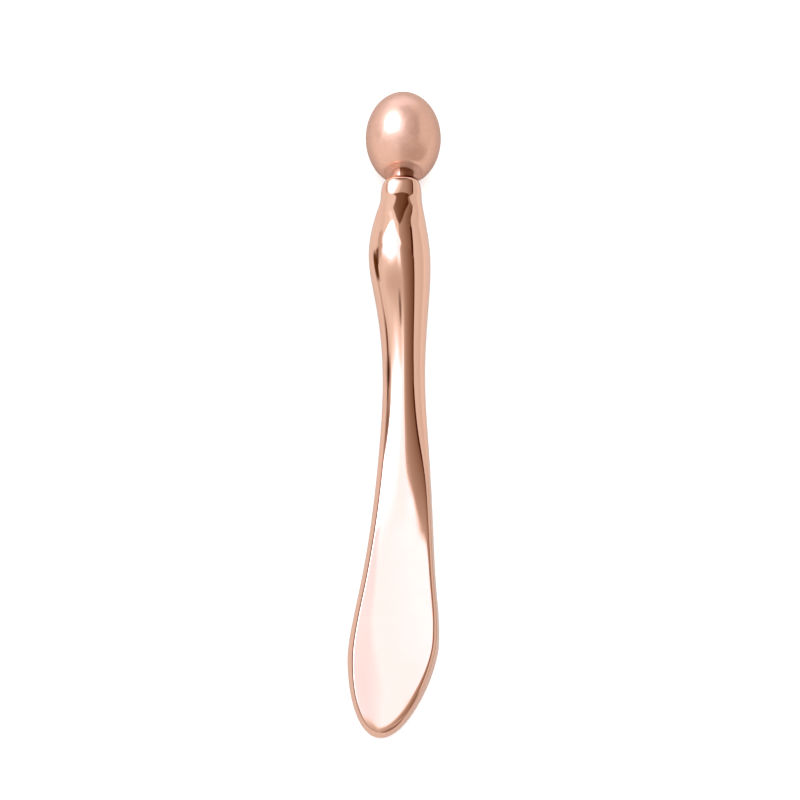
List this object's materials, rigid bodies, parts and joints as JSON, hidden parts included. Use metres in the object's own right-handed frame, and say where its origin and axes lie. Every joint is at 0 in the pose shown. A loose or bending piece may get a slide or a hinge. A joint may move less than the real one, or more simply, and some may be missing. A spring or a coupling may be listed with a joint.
{
  "type": "eye cream massage stick",
  "caption": "Polished metal stick for applying and massaging in eye cream: an egg-shaped roller spins on a pin at one end, and the waisted handle widens to a flat leaning blade at the other.",
  "frame": {"origin": "under the middle of the stick's bounding box, on the surface that it lies on", "axes": "+Y along the roller's pin toward the roller, +Z out of the blade's front face, +X to the right when the blade faces the viewer with the roller on top"},
  "size_m": [0.0132, 0.1, 0.011],
  "materials": {
    "polished_plating": "polished",
    "satin_plating": "satin",
    "bearing_plastic": "satin",
    "steel": "satin"
  },
  "bodies": {
    "handle": {"handle": "polished_plating", "axle_pin": "polished_plating", "thrust_washer": "steel", "end_washer": "steel", "retaining_ring": "steel"},
    "roller": {"roller_ball": "satin_plating", "mouth_cap": "satin_plating", "lower_bush": "bearing_plastic", "upper_bush": "bearing_plastic"}
  },
  "joints": [
    {"name": "roller_spin", "type": "hinge", "parent": "handle", "child": "roller", "pos_m": [0.00105, 0.0432, 0.00548], "axis": [0, 1, 0], "continuous": true}
  ]
}
